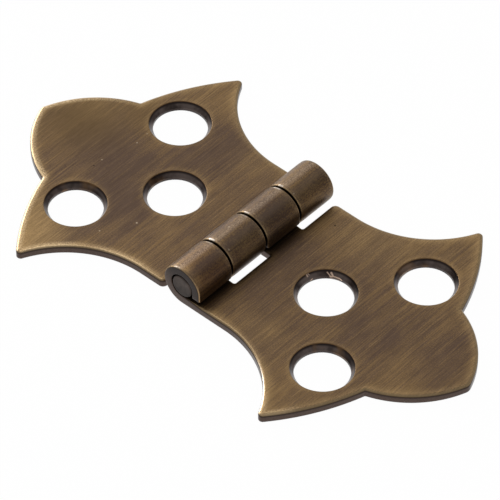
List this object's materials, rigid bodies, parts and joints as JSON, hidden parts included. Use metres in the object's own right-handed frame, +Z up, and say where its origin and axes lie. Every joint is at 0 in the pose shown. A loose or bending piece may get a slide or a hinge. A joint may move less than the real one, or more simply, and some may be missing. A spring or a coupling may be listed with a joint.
{
  "type": "decorative hinge",
  "caption": "Flat decorative butterfly hinge in antique brass, winged leaves with screw holes and rolled knuckles that interleave round a loose pin.",
  "frame": {"origin": "on the plane of the leaves' undersides, straight below the middle of the pin, with the hinge open and flat", "axes": "+X from the pin across the right leaf to its point, +Y along the pin, +Z up from the undersides through the knuckles"},
  "size_m": [0.0572, 0.0332, 0.0047],
  "materials": {
    "leaf_brass": "brushed antique brass, dark brown with lighter worn edges",
    "pin_brass": "dull dark antique finish"
  },
  "bodies": {
    "right_leaf": {"right_leaf": "leaf_brass", "hinge_pin": "pin_brass"},
    "left_leaf": {"left_leaf": "leaf_brass"}
  },
  "joints": [
    {"name": "leaf_swing", "type": "hinge", "parent": "right_leaf", "child": "left_leaf", "pos_m": [0, 0, 0.00236], "axis": [0, 1, 0], "range_deg": [-95, 180]}
  ]
}
